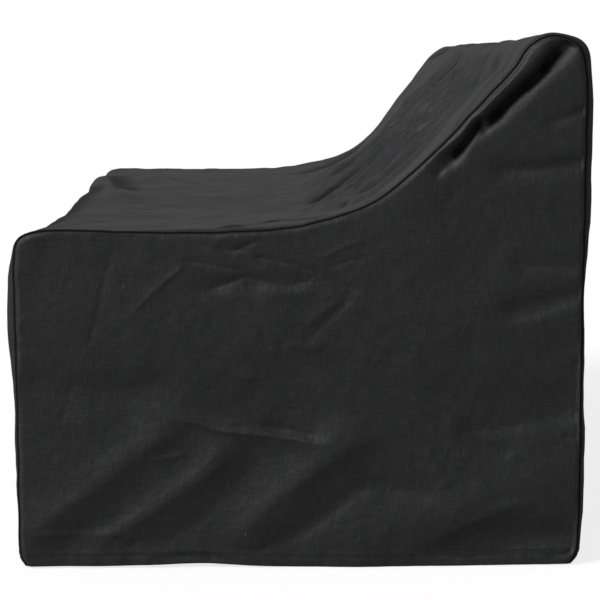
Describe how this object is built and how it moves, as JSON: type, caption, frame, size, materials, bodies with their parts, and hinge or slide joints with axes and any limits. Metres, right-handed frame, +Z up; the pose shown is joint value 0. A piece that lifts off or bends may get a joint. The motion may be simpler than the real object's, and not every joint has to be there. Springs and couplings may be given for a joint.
{
  "type": "outdoor sofa cover",
  "caption": "Draped outdoor cover for a sofa: stepped side panels of coated cloth sewn to a long centre panel that runs up the front, over seat and back, and down behind; hollow, open below.",
  "frame": {"origin": "middle of the cover's footprint, at the height of its hem", "axes": "+X across the cover towards the left side panel, as one sits; -Y out of the front, +Y out of the back; +Z up"},
  "size_m": [1.486, 0.8444, 0.7683],
  "materials": {
    "coated_cloth": "near-black charcoal plain-weave polyester with a matt water-shedding coating and a faint sheen"
  },
  "bodies": {
    "root": {"left_side_panel": "coated_cloth", "right_side_panel": "coated_cloth", "centre_panel": "coated_cloth"}
  },
  "joints": []
}
